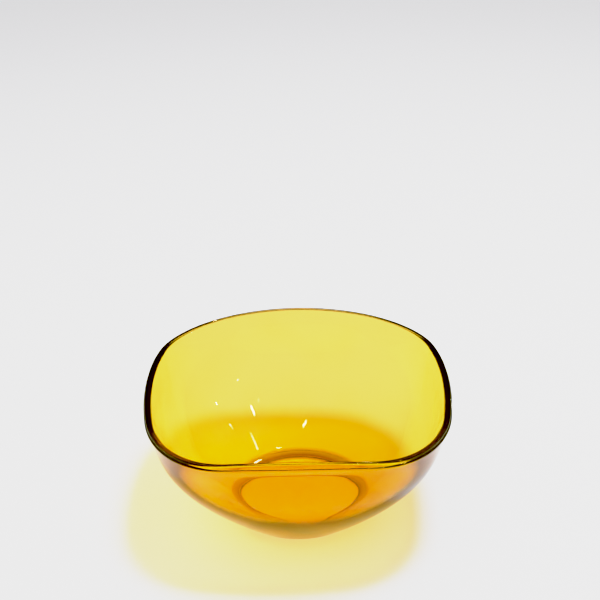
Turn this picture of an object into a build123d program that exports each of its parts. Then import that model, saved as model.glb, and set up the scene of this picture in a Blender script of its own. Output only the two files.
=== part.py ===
from build123d import *
from math import cos, radians, sin
import os

# Rounded-square glass bowl, upright on its foot.
# Origin: centre of the foot's resting face. +Z up, -Y towards the front, millimetres.

# Driving dimensions
HALF_WIDTH = 75.0           # centre to the outside of the rim, at the middle of a side
RIM_HEIGHT = 73.3           # table to the rim's outer edge, at the middle of a side
BASE_RADIUS = 33.7          # where the line of the wall would meet the table
WALL = 4.0                  # glass thickness, square to the surface
RIM_CORNER = 0.605          # corner radius at the rim, as a share of the half width
SIDE_SPLIT = 8.0            # half angle of each flat-looking side arc, degrees

# Line of the outer wall, seen from the side
WALL_START_ANGLE = 43.8     # above the horizontal, where it leaves the table
WALL_START_PULL = 62.1      # length of the lower Bezier handle
WALL_END_LEAN = 20.0        # outwards from the vertical, at the rim
WALL_END_PULL = 24.1        # length of the upper Bezier handle
WALL_STEPS = 6              # number of spans between the sections of a loft

# Rim: lies on a large dome, so the four corners dip and the top face slopes outwards
RIM_DOME_RADIUS = 190.0
RIM_EDGE_ROUND = 0.4        # fire-polished edges
TRIM_ALLOWANCE = 8.0        # glass above the rim that the dome takes away

# Foot and floor of the bowl
FOOT_RADIUS = 32.0
FOOT_HEIGHT = 3.0
FOOT_EDGE_ROUND = 1.0
DISH_RADIUS = 25.0          # polished hollow under the foot
DISH_DEPTH = 0.7
FLOOR_HEIGHT = 7.6          # table to the inside floor, at the centre
CAVITY_START = 0.13         # place on the wall line where the cavity leaves the floor
FLOOR_FLAT = 18.0           # Bezier handle that keeps the floor level at its centre
FLOOR_TURN = 10.0           # Bezier handle that turns the floor up into the wall


def rounded_square(half_width, corner_radius, height):
    """Level face with four bulged side arcs and four tangent corner arcs."""
    spread = 1 / (cos(radians(SIDE_SPLIT)) - sin(radians(SIDE_SPLIT)))
    side_radius = (spread * half_width - corner_radius) / (spread - 1)
    side_centre = Vector(half_width - side_radius, 0)
    reach = side_radius - corner_radius
    corner_centre = side_centre + Vector(reach, 0).rotate(Axis.Z, SIDE_SPLIT)
    with BuildSketch(Plane.XY.offset(height)) as section:
        with BuildLine():
            for turn in (0, 90, 180, 270):
                CenterArc(side_centre.rotate(Axis.Z, turn), side_radius,
                          turn - SIDE_SPLIT, 2 * SIDE_SPLIT)
                CenterArc(corner_centre.rotate(Axis.Z, turn), corner_radius,
                          turn + SIDE_SPLIT, 90 - 2 * SIDE_SPLIT)
        make_face()
    return section.sketch


def corner_radius_at(half_width, height):
    """Round at the foot, squarer towards the rim."""
    return half_width * (1 - (1 - RIM_CORNER) * height / RIM_HEIGHT)


# Line of the outer wall in the XZ plane: X is the half width, Z the height
start_handle = Vector(WALL_START_PULL, 0).rotate(Axis.Z, WALL_START_ANGLE)
end_handle = Vector(0, -WALL_END_PULL).rotate(Axis.Z, -WALL_END_LEAN)
wall_start = Vector(BASE_RADIUS, 0)
wall_end = Vector(HALF_WIDTH, RIM_HEIGHT)
with BuildLine() as wall_line:
    lower_wall = Bezier(wall_start, wall_start + start_handle, wall_end + end_handle, wall_end)
    upper_wall = Line(wall_end, wall_end - end_handle.normalized() * TRIM_ALLOWANCE)
places = [step / WALL_STEPS for step in range(WALL_STEPS + 1)]
cavity_places = [CAVITY_START + (1 - CAVITY_START) * place for place in places]
trim_point, trim_tangent = upper_wall @ 1, upper_wall % 1


def outer_section(point):
    """Outline of the outside of the bowl where the wall line passes this point."""
    return rounded_square(point.X, corner_radius_at(point.X, point.Y), point.Y)


def inner_section(point, tangent):
    """The same outline moved in by the wall thickness, square to the wall."""
    inset = WALL * tangent.Y
    corner_radius = corner_radius_at(point.X, point.Y) - inset
    return rounded_square(point.X - inset, corner_radius, point.Y + WALL * tangent.X)


with BuildPart() as bowl_body:
    outside = [outer_section(lower_wall @ place) for place in places]
    loft(outside + [outer_section(trim_point)])
    inside = [inner_section(lower_wall @ place, lower_wall % place) for place in cavity_places]
    loft(inside + [inner_section(trim_point, trim_tangent)], mode=Mode.SUBTRACT)

    # Inside floor, level at the centre and turning up into the wall
    cavity_tangent = lower_wall % CAVITY_START
    cavity_rim = (lower_wall @ CAVITY_START) + Vector(-cavity_tangent.Y, cavity_tangent.X) * WALL
    with BuildSketch(Plane.XZ):
        with BuildLine():
            floor_line = Bezier((0, FLOOR_HEIGHT), (FLOOR_FLAT, FLOOR_HEIGHT),
                                cavity_rim - cavity_tangent * FLOOR_TURN, cavity_rim)
            Polyline(floor_line @ 1, (0, cavity_rim.Y), (0, FLOOR_HEIGHT))
        make_face()
    revolve(axis=Axis.Z, mode=Mode.SUBTRACT)

    # Keep what lies above the foot and under the rim dome
    dome_centre = RIM_HEIGHT - (RIM_DOME_RADIUS ** 2 - HALF_WIDTH ** 2) ** 0.5
    dome_edge = 1.5 * HALF_WIDTH
    dome_drop = (RIM_DOME_RADIUS ** 2 - dome_edge ** 2) ** 0.5
    with BuildSketch(Plane.XZ):
        with BuildLine():
            RadiusArc((0, dome_centre + RIM_DOME_RADIUS), (dome_edge, dome_centre + dome_drop),
                      RIM_DOME_RADIUS)
            Polyline((dome_edge, dome_centre + dome_drop), (dome_edge, FOOT_HEIGHT),
                     (0, FOOT_HEIGHT), (0, dome_centre + RIM_DOME_RADIUS))
        make_face()
    revolve(axis=Axis.Z, mode=Mode.INTERSECT)
    rim_face = bowl_body.faces().filter_by(GeomType.SPHERE).sort_by(Axis.Z)[-1]
    fillet(rim_face.edges(), RIM_EDGE_ROUND)
bowl_body.part.label = "bowl_body"

with BuildPart() as foot_pad:
    with BuildSketch():
        Circle(FOOT_RADIUS)
    extrude(amount=FOOT_HEIGHT)
    fillet(foot_pad.edges().sort_by(Axis.Z)[0], FOOT_EDGE_ROUND)
    # Shallow spherical hollow, so that the foot rests on a ring
    with BuildSketch(Plane.XZ):
        with BuildLine():
            ThreePointArc((-DISH_RADIUS, 0), (0, DISH_DEPTH), (DISH_RADIUS, 0))
            Line((-DISH_RADIUS, 0), (DISH_RADIUS, 0))
        make_face()
        split(bisect_by=Plane.YZ)
    revolve(axis=Axis.Z, mode=Mode.SUBTRACT)
foot_pad.part.label = "foot_pad"

os.makedirs("parts", exist_ok=True)
export_step(bowl_body.part, "parts/bowl_body.step")
export_step(foot_pad.part, "parts/foot_pad.step")
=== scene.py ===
import math

import bpy
import numpy as np
from mathutils import Matrix, Vector


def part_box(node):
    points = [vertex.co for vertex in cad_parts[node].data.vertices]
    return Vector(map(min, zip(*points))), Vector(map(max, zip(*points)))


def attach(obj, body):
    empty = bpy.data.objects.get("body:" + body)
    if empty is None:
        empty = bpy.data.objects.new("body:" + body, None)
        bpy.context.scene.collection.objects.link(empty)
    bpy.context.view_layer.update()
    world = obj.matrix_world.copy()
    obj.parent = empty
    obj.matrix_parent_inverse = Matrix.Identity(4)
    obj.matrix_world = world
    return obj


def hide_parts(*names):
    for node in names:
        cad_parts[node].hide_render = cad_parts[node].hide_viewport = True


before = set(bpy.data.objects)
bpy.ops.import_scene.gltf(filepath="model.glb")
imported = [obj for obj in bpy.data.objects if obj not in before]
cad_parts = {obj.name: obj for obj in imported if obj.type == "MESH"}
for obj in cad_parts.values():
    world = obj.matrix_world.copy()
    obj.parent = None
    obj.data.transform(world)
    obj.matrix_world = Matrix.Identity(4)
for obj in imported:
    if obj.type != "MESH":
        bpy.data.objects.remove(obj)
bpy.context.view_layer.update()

# Rounded-square amber glass bowl. Metres. It stands on z = 0, its mouth opens along +Z, and
# its front is towards -Y. The body and the foot are fused, so one mesh stands for both CAD nodes.

# Sizes taken from the frame
EDGE_TRIM = 0.0002          # what the rounded rim takes off the half width
RIM_RISE = 0.0028           # from the rim's outer edge, at the middle of a side, to the CAD top
HALF_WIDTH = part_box("bowl_body")[1][0] + EDGE_TRIM
RIM_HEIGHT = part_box("bowl_body")[1][2] - RIM_RISE
FOOT_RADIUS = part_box("foot_pad")[1][0]
FOOT_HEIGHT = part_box("foot_pad")[1][2]

# Line of the outer wall, seen from the side
BASE_RADIUS = 0.0337        # where it would meet the table
START_ANGLE = math.radians(43.8)   # above the horizontal, where it leaves the table
START_PULL = 0.0621         # length of the lower Bezier handle
END_LEAN = math.radians(20)        # outwards from the vertical, at the rim
END_PULL = 0.0241           # length of the upper Bezier handle
OVERRUN = 0.02              # how far it goes on, straight, above the rim
LINE_POINTS = 800

# Sections across the bowl: four bulged sides and four tangent corners
RIM_CORNER = 0.605          # corner radius at the rim, as a share of the half width
SIDE_SPLIT = math.radians(8)       # half angle of each side

# Rim: lies on a large dome, so that the corners dip, and has a bead at the front
DOME_RADIUS = 0.190
WALL = 0.0038
FRONT_BEAD = 0.0013         # how much thicker the rim is at the middle of the front
FRONT_BEAD_SPREAD = 6       # the higher this power, the sooner the bead fades to the sides
BEAD_LENGTH = 0.0058        # how far the bead reaches down the inner wall
BEAD_FALL = 2.4             # how fast it thins on the way
OUTER_ROUND = 0.0009
INNER_ROUND = 0.0014
CROWN = 0.0012              # how far the rim's face swells between its edges

# Foot and floor
FOOT_ROUND = 0.0018
FOOT_SIDE = 0.0020          # height where the foot's upright side ends
FILLET_TOP = FOOT_HEIGHT + 0.0004
DISH_RADIUS = 0.0250        # polished hollow under the foot
DISH_DEPTH = 0.0007
FLOOR_HEIGHT = 0.0070
FLOOR_FLAT = 0.0160         # Bezier handle that keeps the floor level at its centre
FLOOR_TURN = 0.0120         # Bezier handle that turns the floor up into the wall
FLOOR_END = 0.97            # how far along the floor's curve its last ring lies
WALL_FOOT = 0.0100          # how far up the wall line the floor starts
POLE_RADIUS = 0.0020        # the first ring, round the centre of the hollow

# Small waves of hand-worked glass
RIPPLE = 0.00003
RIPPLE_FOLDS = (2, 3, 5, 7, 9, 13)
RIPPLE_CLIMB = (40, 220)    # radians in a metre of wall
OTHER_FACE = 2.1            # phase between the waves of the two faces
FADE_FROM = 0.006           # the waves grow from here up the wall line
FADE_IN = 0.008
FADE_TO = 0.004             # and are gone this far under the rim
FADE_OUT = 0.015
SEED = 11
random = np.random.default_rng(SEED)

# Fineness of the mesh: points round a ring, and rings along each stretch
AROUND = 288
DISH_RINGS = 25
FOOT_RINGS = 12
FILLET_RINGS = 16
OUTER_RINGS = 90
OUTER_ROUND_RINGS = 9
CROWN_RINGS = 14
INNER_ROUND_RINGS = 12
BEAD_RINGS = 18
INNER_RINGS = 70
FLOOR_RINGS = 40
HALVINGS = 40               # steps that close in on the place where the wall meets the dome
ANGLES = np.linspace(0, 2 * np.pi, AROUND, endpoint=False)


def bezier(points, count):
    """Points along a cubic Bezier curve."""
    p0, p1, p2, p3 = (np.array(point, float) for point in points)
    u = np.linspace(0, 1, count)[:, None]
    return (1 - u) ** 3 * p0 + 3 * (1 - u) ** 2 * u * p1 + 3 * (1 - u) * u ** 2 * p2 + u ** 3 * p3


wall_start = np.array([BASE_RADIUS, 0.0])
wall_end = np.array([HALF_WIDTH, RIM_HEIGHT])
start_way = np.array([math.cos(START_ANGLE), math.sin(START_ANGLE)])
end_way = np.array([math.sin(END_LEAN), math.cos(END_LEAN)])
handles = wall_start + START_PULL * start_way, wall_end - END_PULL * end_way
wall_line = np.vstack([bezier((wall_start, *handles, wall_end), LINE_POINTS),
                       wall_end + end_way * OVERRUN])
lengths = np.concatenate([[0], np.cumsum(np.linalg.norm(np.diff(wall_line, axis=0), axis=1))])
tangents = np.gradient(wall_line, lengths, axis=0)
tangents[-2:] = end_way
WALL_LENGTH = lengths[-2]
ripples = [(folds, random.uniform(0, 2 * math.pi), random.uniform(*RIPPLE_CLIMB),
            random.uniform(0, 2 * math.pi)) for folds in RIPPLE_FOLDS]


def ripple(length, inset):
    """Depth of the waves at each angle: not the same on both faces, and none at rim and foot."""
    fade_in = np.clip((length - FADE_FROM) / FADE_IN, 0, 1)
    fade_out = np.clip((WALL_LENGTH - FADE_TO - length) / FADE_OUT, 0, 1)
    face = np.where(np.asarray(inset) > WALL / 2, OTHER_FACE, 0.0)
    waves = sum(np.cos(folds * ANGLES + phase + face) * np.cos(climb * length + start + 3 * face)
                for folds, phase, climb, start in ripples)
    return RIPPLE * waves * (fade_in * fade_out)


def section_radius(half, corner):
    """Radius at each angle of a rounded square with this half width and corner radius."""
    spread = 1 / (math.cos(SIDE_SPLIT) - math.sin(SIDE_SPLIT))
    side = (spread * half - corner) / (spread - 1)
    middle = half - side
    theta = np.abs((ANGLES + np.pi / 4) % (np.pi / 2) - np.pi / 4)
    c, s = np.cos(theta), np.sin(theta)
    on_side = middle * c + np.sqrt(np.maximum((middle * c) ** 2 - middle ** 2 + side ** 2, 0))
    corner_x = middle + (side - corner) * math.cos(SIDE_SPLIT)
    corner_y = (side - corner) * math.sin(SIDE_SPLIT)
    along = corner_x * c + corner_y * s
    beyond = np.maximum(along ** 2 - corner_x ** 2 - corner_y ** 2 + corner ** 2, 0)
    on_corner = along + np.sqrt(beyond)
    return np.where(np.arctan2(on_side * s, on_side * c - middle) <= SIDE_SPLIT, on_side, on_corner)


def surface(length, inset):
    """Radius and height at each angle, this far up the wall line and moved inwards by inset."""
    inset = inset + ripple(length, inset)
    half, height = (np.interp(length, lengths, wall_line[:, axis]) for axis in (0, 1))
    out, up = (np.interp(length, lengths, tangents[:, axis]) for axis in (0, 1))
    corner = half * (1 - (1 - RIM_CORNER) * height / RIM_HEIGHT)
    return section_radius(half - inset * up, corner - inset * up), height + inset * out


def length_at(height):
    """How far up the wall line it passes this height."""
    return float(np.interp(height, wall_line[:, 1], lengths))


def rim_length(inset):
    """How far up the wall line each angle meets the rim's dome."""
    dome_middle = RIM_HEIGHT - math.sqrt(DOME_RADIUS ** 2 - HALF_WIDTH ** 2)
    low, high = np.full(AROUND, WALL_LENGTH / 2), np.full(AROUND, WALL_LENGTH + OVERRUN)
    for _ in range(HALVINGS):
        middle = (low + high) / 2
        radius, height = surface(middle, inset)
        above = height > dome_middle + np.sqrt(DOME_RADIUS ** 2 - radius ** 2)
        high, low = np.where(above, middle, high), np.where(above, low, middle)
    return (low + high) / 2


def row(radius, height):
    """One ring of the mesh as radius and height at each angle."""
    return np.stack(np.broadcast_arrays(radius + 0 * ANGLES, height), 1)


def steps(count, end=1.0):
    """Even steps from 0 to end, without the first."""
    return np.linspace(0, end, count)[1:]


def turn(start, corner, end, count):
    """Rows of a rounded turn from start to end round a corner, without its first row."""
    return [(1 - u) ** 2 * start + 2 * u * (1 - u) * corner + u * u * end
            for u in steps(count + 1)]


def under_rows():
    """Hollow, resting ring and upright side of the foot, and the fillet up to the wall."""
    rows = []
    for radius in np.linspace(POLE_RADIUS, DISH_RADIUS, DISH_RINGS):
        rows.append(row(radius, DISH_DEPTH * (1 - (radius / DISH_RADIUS) ** 2) ** 2))
    resting_edge, foot_edge = row(FOOT_RADIUS - FOOT_ROUND, 0.0), row(FOOT_RADIUS, 0.0)
    rows += turn(resting_edge, foot_edge, row(FOOT_RADIUS, FOOT_ROUND), FOOT_RINGS)
    rows.append(row(FOOT_RADIUS, FOOT_SIDE))
    wall_low = row(*surface(length_at(FILLET_TOP), 0))
    return rows + turn(rows[-1], row(FOOT_RADIUS, FILLET_TOP), wall_low, FILLET_RINGS)


def side_rows():
    """Outer wall, crowned rim with its bead, and inner wall."""
    bead = FRONT_BEAD * np.clip(-np.sin(ANGLES), 0, 1) ** FRONT_BEAD_SPREAD
    thick = WALL + bead
    outer_top, inner_top = rim_length(0), rim_length(thick)
    low = length_at(FILLET_TOP)
    rows = [row(*surface(low + (outer_top - OUTER_ROUND - low) * u, 0)) for u in steps(OUTER_RINGS)]
    outer_edge, inner_edge = row(*surface(outer_top, 0)), row(*surface(inner_top, thick))
    inward = inner_edge - outer_edge
    inward /= np.linalg.norm(inward, axis=1)[:, None]
    upward = np.stack([inward[:, 1], -inward[:, 0]], 1)
    crown_start, crown_end = outer_edge + inward * OUTER_ROUND, inner_edge - inward * INNER_ROUND
    rows += turn(rows[-1], outer_edge, crown_start, OUTER_ROUND_RINGS)
    for u in steps(CROWN_RINGS):
        rows.append((1 - u) * crown_start + u * crown_end + upward * CROWN * 4 * u * (1 - u))
    inner_wall = row(*surface(inner_top - INNER_ROUND, thick))
    rows += turn(crown_end, inner_edge, inner_wall, INNER_ROUND_RINGS)
    for u in steps(BEAD_RINGS):
        inset = WALL + bead * math.exp(-(BEAD_FALL * u) ** 2)
        rows.append(row(*surface(inner_top - INNER_ROUND - u * BEAD_LENGTH, inset)))
    top = inner_top - INNER_ROUND - BEAD_LENGTH
    return rows + [row(*surface(top + (WALL_FOOT - top) * u, WALL)) for u in steps(INNER_RINGS)]


def floor_rows(last, before):
    """Inside floor: leaves the wall along its line and levels out at the centre."""
    slope = (last - before) / np.linalg.norm(last - before, axis=1)[:, None]
    level = row(FLOOR_FLAT, FLOOR_HEIGHT), row(0.0, FLOOR_HEIGHT)
    rows = []
    for u in steps(FLOOR_RINGS, FLOOR_END):
        rows.append((1 - u) ** 3 * last + 3 * (1 - u) ** 2 * u * (last + slope * FLOOR_TURN)
                    + 3 * (1 - u) * u ** 2 * level[0] + u ** 3 * level[1])
    return rows


def closed_mesh(name, rows):
    """Smooth closed mesh through the rows, with a centre point at each end."""
    points = [np.stack([ring[:, 0] * np.cos(ANGLES), ring[:, 0] * np.sin(ANGLES), ring[:, 1]], 1)
              for ring in rows]
    ends = [points[0].mean(0), points[-1].mean(0)]
    last = (len(rows) - 1) * AROUND
    faces = []
    for j in range(AROUND):
        k = (j + 1) % AROUND
        faces += [(i + j, i + k, i + AROUND + k, i + AROUND + j) for i in range(0, last, AROUND)]
        faces += [(k, j, last + AROUND), (last + j, last + k, last + AROUND + 1)]
    mesh = bpy.data.meshes.new(name)
    mesh.from_pydata(np.vstack(points + [ends]).tolist(), [], faces)
    mesh.shade_smooth()
    piece = bpy.data.objects.new(name, mesh)
    bpy.context.collection.objects.link(piece)
    return piece


def add(tree, kind, inputs, **settings):
    """New node. An input that is a socket is linked, and a plain value is set."""
    item = tree.nodes.new("ShaderNode" + kind)
    for name, value in settings.items():
        setattr(item, name, value)
    fill(tree, item, inputs)
    return item


def fill(tree, item, inputs):
    """Links or sets the inputs of a node."""
    for key, value in inputs.items():
        if isinstance(value, bpy.types.NodeSocket):
            tree.links.new(value, item.inputs[key])
        else:
            item.inputs[key].default_value = value


def mixed(tree, factor, first, second):
    """Colour mixed from two colours."""
    return add(tree, "Mix", {0: factor, 6: first, 7: second}, data_type="RGBA").outputs[2]


def product(tree, first, second, added=0.0):
    """First times second, plus added."""
    inputs = {0: first, 1: second, 2: added}
    return add(tree, "Math", inputs, operation="MULTIPLY_ADD").outputs[0]


def ramp(tree, value, start, end, top=1.0):
    """Number that goes smoothly from 0 to top as the value goes from start to end."""
    inputs = {"Value": value, "From Min": start, "From Max": end, "To Max": top}
    return add(tree, "MapRange", inputs, interpolation_type="SMOOTHSTEP").outputs["Result"]


def noise(tree, place, scale, detail=2.0, distortion=0.0):
    """Soft noise around 0.5, with this many cells in a metre."""
    inputs = {"Vector": place, "Scale": scale, "Detail": detail, "Distortion": distortion}
    return add(tree, "TexNoise", inputs).outputs["Fac"]


# Glass. The ambers are what one crossing of the surface lets through
PALE_AMBER = (1.0, 0.66, 0.32, 1)  # faint streaks run from this
RICH_AMBER = (1.0, 0.60, 0.25, 1)  # to this
# Painted shade: darker amber put on the foot's side for the dark band and contact shadow there
FOOT_SHADE_AMBER = (0.13, 0.032, 0.005, 1)
# Painted shade: darker amber put on the outline where the outer wall turns away
EDGE_SHADE_AMBER = (0.03, 0.008, 0.003, 1)
SHINE = (1.0, 0.60, 0.22, 1)       # tint of reflections
# Painted shade: darker reflection tint on that outline
EDGE_SHADE_SHINE = (0.22, 0.12, 0.06, 1)
SHADOW_AMBER = (1.0, 0.76, 0.60, 1)  # for the light that falls through to the table
BLACK = (0, 0, 0, 1)
BODY_COLOUR = (0.977, 0.950, 0.0, 1)  # absorption inside the glass
BODY_DENSITY = 220
GLASS_IOR = 1.5
STREAK_SCALE = 22
STREAK_DETAIL = 3
STREAK_BEND = 0.6

# The foot's side is rougher, and its colour is a darker amber there as painted shade for the dark
# band and contact shadow at the foot: between these heights, and these radii
FOOT_BAND_ABOVE = 0.0050
FOOT_BAND_BELOW = 0.0029
FOOT_BAND_FROM = 0.0300
FOOT_BAND_TO = 0.0325
FOOT_ROUGHNESS = 0.6

# Painted shade: the outline's colour and reflection tint are darkened where the outer wall turns
# away. The facing value goes between these
EDGE_FROM = 0.51
EDGE_TO = 0.70
OUTER_FROM = 0.005          # radius times the normal's outward part, where a face counts as outer

# Faint marks all over, and wear on the resting ring
MARK_SCALE = 90
MARK_NOISE = (0.55, 0.80)
MARK_ROUGHNESS = 0.03
WEAR_ABOVE = 0.0003
WEAR_BELOW = 0.0001
WEAR_SCALE = 900
WEAR_DETAIL = 4
WEAR_NOISE = (0.45, 0.7)
WEAR_ROUGHNESS = 0.3
BUMP_SCALE = 120
BUMP_DETAIL = 1
BUMP_STRENGTH = 0.05
BUMP_DEPTH = 0.0005


def amber_glass(name):
    """Clear amber glass: streaks, painted shade darkening the foot and the outline, marks and a
    worn resting ring.
    """
    material = bpy.data.materials.new(name)
    material.use_nodes = True
    tree = material.node_tree
    place = add(tree, "TexCoord", {}).outputs["Object"]
    height = add(tree, "SeparateXYZ", {0: place}).outputs["Z"]
    level = add(tree, "VectorMath", {0: place, 1: (1, 1, 0)}, operation="MULTIPLY").outputs[0]
    radius = add(tree, "VectorMath", {0: level}, operation="LENGTH").outputs["Value"]

    streaks = mixed(tree, noise(tree, place, STREAK_SCALE, STREAK_DETAIL, STREAK_BEND),
                    PALE_AMBER, RICH_AMBER)
    near_foot = product(tree, ramp(tree, height, FOOT_BAND_ABOVE, FOOT_BAND_BELOW),
                        ramp(tree, radius, FOOT_BAND_FROM, FOOT_BAND_TO))
    # Painted shade: the foot's side is mixed towards the darker amber
    foot_shaded = mixed(tree, near_foot, streaks, FOOT_SHADE_AMBER)
    geometry = add(tree, "NewGeometry", {}).outputs
    entering = product(tree, geometry["Backfacing"], -1.0, 1.0)
    outwards = add(tree, "VectorMath", {0: geometry["Normal"], 1: level}, operation="DOT_PRODUCT")
    outside = product(tree, entering, ramp(tree, outwards.outputs["Value"], 0.0, OUTER_FROM))
    slant = ramp(tree, add(tree, "LayerWeight", {}).outputs["Facing"], EDGE_FROM, EDGE_TO)
    edge = product(tree, outside, slant)
    # Painted shade on the outline: colour and reflection tint are mixed towards darker ones there
    colour = mixed(tree, edge, foot_shaded, EDGE_SHADE_AMBER)
    shine = mixed(tree, edge, SHINE, EDGE_SHADE_SHINE)

    marks = ramp(tree, noise(tree, place, MARK_SCALE), *MARK_NOISE, MARK_ROUGHNESS)
    wear = ramp(tree, noise(tree, place, WEAR_SCALE, WEAR_DETAIL), *WEAR_NOISE, WEAR_ROUGHNESS)
    clear_part = product(tree, ramp(tree, height, WEAR_ABOVE, WEAR_BELOW), wear, marks)
    roughness = product(tree, near_foot, FOOT_ROUGHNESS, clear_part)
    waves = add(tree, "Bump", {"Strength": BUMP_STRENGTH, "Distance": BUMP_DEPTH,
                               "Height": noise(tree, place, BUMP_SCALE, BUMP_DETAIL)})

    glass = tree.nodes["Principled BSDF"]
    fill(tree, glass, {"Base Color": colour, "Roughness": roughness, "Normal": waves.outputs[0],
                       "IOR": GLASS_IOR, "Transmission Weight": 1.0, "Specular Tint": shine})

    # What reaches the table through the glass. Light is lost only where it enters
    mirrored = add(tree, "Fresnel", {"IOR": GLASS_IOR}).outputs[0]
    passed = mixed(tree, product(tree, mirrored, entering), SHADOW_AMBER, BLACK)
    clear = add(tree, "BsdfTransparent", {"Color": passed})
    to_lamp = add(tree, "LightPath", {}).outputs["Is Shadow Ray"]
    whole = add(tree, "MixShader", {0: to_lamp, 1: glass.outputs[0], 2: clear.outputs[0]})
    body = add(tree, "VolumeAbsorption", {"Color": BODY_COLOUR, "Density": BODY_DENSITY})
    fill(tree, tree.nodes["Material Output"],
         {"Surface": whole.outputs[0], "Volume": body.outputs[0]})
    return material


rows = under_rows() + side_rows()
bowl = closed_mesh("glass_bowl", rows + floor_rows(rows[-1], rows[-2]))
bowl.data.materials.append(amber_glass("amber_glass"))
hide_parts("bowl_body", "foot_pad")
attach(bowl, "root")

# Plain pale table, just under the foot so that no faces share a plane
TABLE_SIZE = 30
TABLE_GAP = 0.0001
TABLE_WHITE = (0.85, 0.85, 0.85, 1)


def pale_table():
    bpy.ops.mesh.primitive_plane_add(size=TABLE_SIZE, location=(0, 0, -TABLE_GAP))
    table = bpy.context.object
    table.name = "table"
    material = bpy.data.materials.new("table")
    material.use_nodes = True
    fill(material.node_tree, material.node_tree.nodes["Principled BSDF"],
         {"Base Color": TABLE_WHITE, "Roughness": 1.0, "Specular IOR Level": 0.0})
    table.data.materials.append(material)
    return table


pale_table()

# Studio: a pale dome that darkens towards the horizon, a soft key and small ceiling lamps
HORIZON = (0.090, 0.040, 0.010, 1)
ZENITH = (0.9, 0.9, 0.9, 1)
DOME_FROM = 0.25            # sines of the heights between which the dome brightens
DOME_TO = 0.60
BEHIND = (0.65, 0.65, 0.65, 1)     # what the camera sees past the table
MIRRORED_DOME = 0.15        # how much of the dome shows in reflections
KEY_PLACE = (0.19, -0.03, 1.0)
KEY_SIZE = 0.2
KEY_RADIANCE = 83
POINT_RADIANCE = 150
BROAD_RADIANCE = 60

# Place and size of each ceiling lamp
POINT_LAMPS = (
    ((0.48, -0.60, 0.90), 0.022), ((0.61, -0.46, 0.91), 0.045), ((0.91, 0.06, 0.76), 0.010),
    ((-0.09, -0.68, 0.96), 0.014), ((-0.07, -0.68, 0.97), 0.014), ((0.99, 0.03, 0.65), 0.020),
    ((0.72, -0.62, 0.69), 0.016))
BROAD_LAMPS = (
    ((0.32, -0.11, 1.15), 0.120), ((0.75, -0.15, 0.91), 0.080), ((0.32, 0.57, 1.02), 0.090),
    ((0.85, 0.77, 0.27), 0.060))
CEILING = (("point", POINT_LAMPS, POINT_RADIANCE), ("broad", BROAD_LAMPS, BROAD_RADIANCE))


def studio_dome():
    """World that lights the scene, dimmer in reflections and plain where the camera sees it."""
    world = bpy.data.worlds.new("studio")
    world.use_nodes = True
    bpy.context.scene.world = world
    tree = world.node_tree
    way = add(tree, "TexCoord", {}).outputs["Generated"]
    height = add(tree, "SeparateXYZ", {0: way}).outputs["Z"]
    sky = mixed(tree, ramp(tree, height, DOME_FROM, DOME_TO), HORIZON, ZENITH)
    path = add(tree, "LightPath", {})
    seen = mixed(tree, path.outputs["Is Camera Ray"], sky, BEHIND)
    dimmed = product(tree, path.outputs["Is Glossy Ray"], MIRRORED_DOME - 1, 1.0)
    fill(tree, tree.nodes["Background"], {"Color": seen, "Strength": dimmed})


def softbox(name, place, target, size, radiance):
    """Square lamp of this size and brightness, turned to its target and not seen through glass."""
    light = bpy.data.lights.new(name, "AREA")
    light.size = size
    light.energy = radiance * math.pi * size ** 2
    lamp = bpy.data.objects.new(name, light)
    lamp.location = place
    lamp.rotation_euler = (Vector(target) - Vector(place)).to_track_quat("-Z", "Y").to_euler()
    lamp.visible_transmission = False
    bpy.context.collection.objects.link(lamp)
    return lamp


studio_dome()
key = softbox("key", KEY_PLACE, (0, 0, 0), KEY_SIZE, KEY_RADIANCE)
key.visible_glossy = False
bowl_middle = (0, 0, RIM_HEIGHT / 2)
for kind, lamps, radiance in CEILING:
    for number, (place, size) in enumerate(lamps):
        lamp = softbox(f"{kind}_lamp_{number}", place, bowl_middle, size, radiance)
        lamp.visible_diffuse = False
        lamp.visible_camera = False
bpy.context.scene.cycles.caustics_reflective = False

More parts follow.
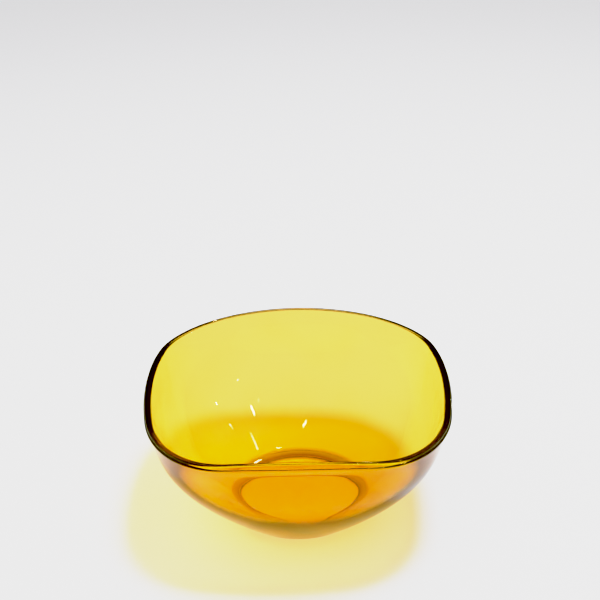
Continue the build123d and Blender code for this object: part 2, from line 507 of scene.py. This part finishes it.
# Camera, in front of the bowl and looking down into it
CAMERA_ELEVATION = math.radians(31.40)
CAMERA_DISTANCE = 0.531     # from the middle of the mouth
CAMERA_UP = math.radians(4.272)    # how far it then turns from that middle
CAMERA_RIGHT = math.radians(0.215)
CAMERA_ROLL = math.radians(1.06)
SENSOR = 36                 # millimetres, as is the lens
LENS = 64.36
NEAR_CLIP = 0.01

camera_data = bpy.data.cameras.new("camera")
camera_data.sensor_width = SENSOR
camera_data.lens = LENS
camera_data.clip_start = NEAR_CLIP
camera = bpy.data.objects.new("camera", camera_data)
backwards = Vector((0, -math.cos(CAMERA_ELEVATION), math.sin(CAMERA_ELEVATION)))
camera_place = Vector((0, 0, RIM_HEIGHT)) + CAMERA_DISTANCE * backwards
camera.matrix_world = (Matrix.Translation(camera_place)
                       @ Matrix.Rotation(math.pi / 2 - CAMERA_ELEVATION + CAMERA_UP, 4, "X")
                       @ Matrix.Rotation(-CAMERA_RIGHT, 4, "Y")
                       @ Matrix.Rotation(-CAMERA_ROLL, 4, "Z"))
bpy.context.collection.objects.link(camera)
bpy.context.scene.camera = camera

# Film: bright parts are squeezed together, and deep shade loses its green and blue first.
# Each point is the light that comes in and what is made of it
FILM_WHITE = 4.0
SHOULDER = ((0.5, 0.5), (0.8, 0.74), (1.0, 0.80), (1.6, 0.84), (2.6, 0.87))
GREEN_TOE = ((0.012, 0), (0.04, 0.03), (0.12, 0.118), (0.3, 0.3))
BLUE_TOE = ((0.05, 0), (0.09, 0.035), (0.18, 0.155), (0.35, 0.35))


def film_response(view):
    """Curves over scene light up to FILM_WHITE. The channels' own come before the shared one."""
    view.view_transform = "Standard"
    view.use_curve_mapping = True
    mapping = view.curve_mapping
    mapping.white_level = (FILM_WHITE,) * 3
    _, green, blue, shared = mapping.curves
    for x, y in SHOULDER:
        shared.points.new(x / FILM_WHITE, y)
    for curve, toe in ((green, GREEN_TOE), (blue, BLUE_TOE)):
        curve.points[0].location = (toe[0][0] / FILM_WHITE, 0)
        for x, y in toe[1:]:
            curve.points.new(x / FILM_WHITE, y / FILM_WHITE)
    mapping.update()


film_response(bpy.context.scene.view_settings)
